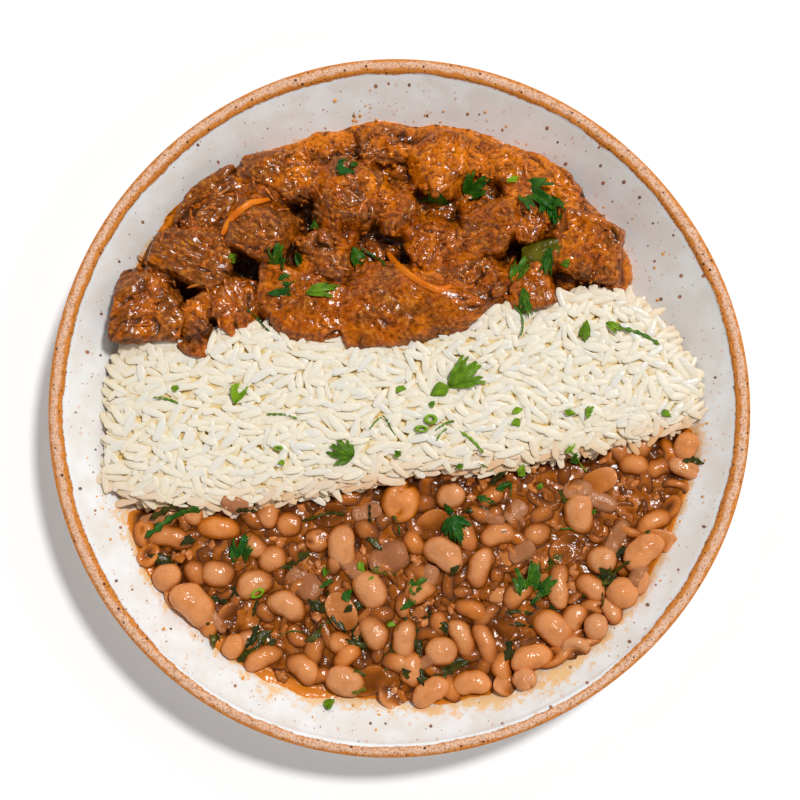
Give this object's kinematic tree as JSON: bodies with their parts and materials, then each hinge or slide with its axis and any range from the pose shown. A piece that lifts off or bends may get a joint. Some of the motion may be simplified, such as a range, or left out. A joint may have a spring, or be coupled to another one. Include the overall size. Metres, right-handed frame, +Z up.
{
  "type": "rice and beans plate",
  "caption": "Round stoneware plate served with beef stew, white rice and beans in sauce, with chopped parsley.",
  "frame": {"origin": "centre of the plate's foot, on the table", "axes": "+Z up; the stew lies towards +Y, the rice across the middle, the beans towards -Y"},
  "size_m": [0.224, 0.224, 0.0313],
  "materials": {
    "glazed_stoneware": "off-white speckled glaze inside and out, bare tan clay on the rim",
    "rice": "cooked long grain white rice, soft satin",
    "beans": "pinkish brown beans in a glossy orange-brown sauce",
    "gravy": "orange-brown gravy with an oily shine",
    "beef": "braised beef, wet and fibrous",
    "green_pepper": "cooked olive green pepper, wet",
    "carrot": "cooked orange carrot, wet"
  },
  "bodies": {
    "root": {"plate": "glazed_stoneware", "rice": "rice", "beans": "beans", "gravy": "gravy", "beef_01": "beef", "beef_02": "beef", "beef_03": "beef", "beef_04": "beef", "beef_05": "beef", "beef_06": "beef", "beef_07": "beef", "beef_08": "beef", "beef_09": "beef", "beef_10": "beef", "beef_11": "beef", "beef_12": "beef", "beef_13": "beef", "beef_14": "beef", "beef_15": "beef", "beef_16": "beef", "beef_17": "beef", "beef_18": "beef", "beef_19": "beef", "beef_20": "beef", "beef_21": "beef", "beef_22": "beef", "green_pepper": "green_pepper", "carrot_strip_1": "carrot", "carrot_strip_2": "carrot"}
  },
  "joints": []
}
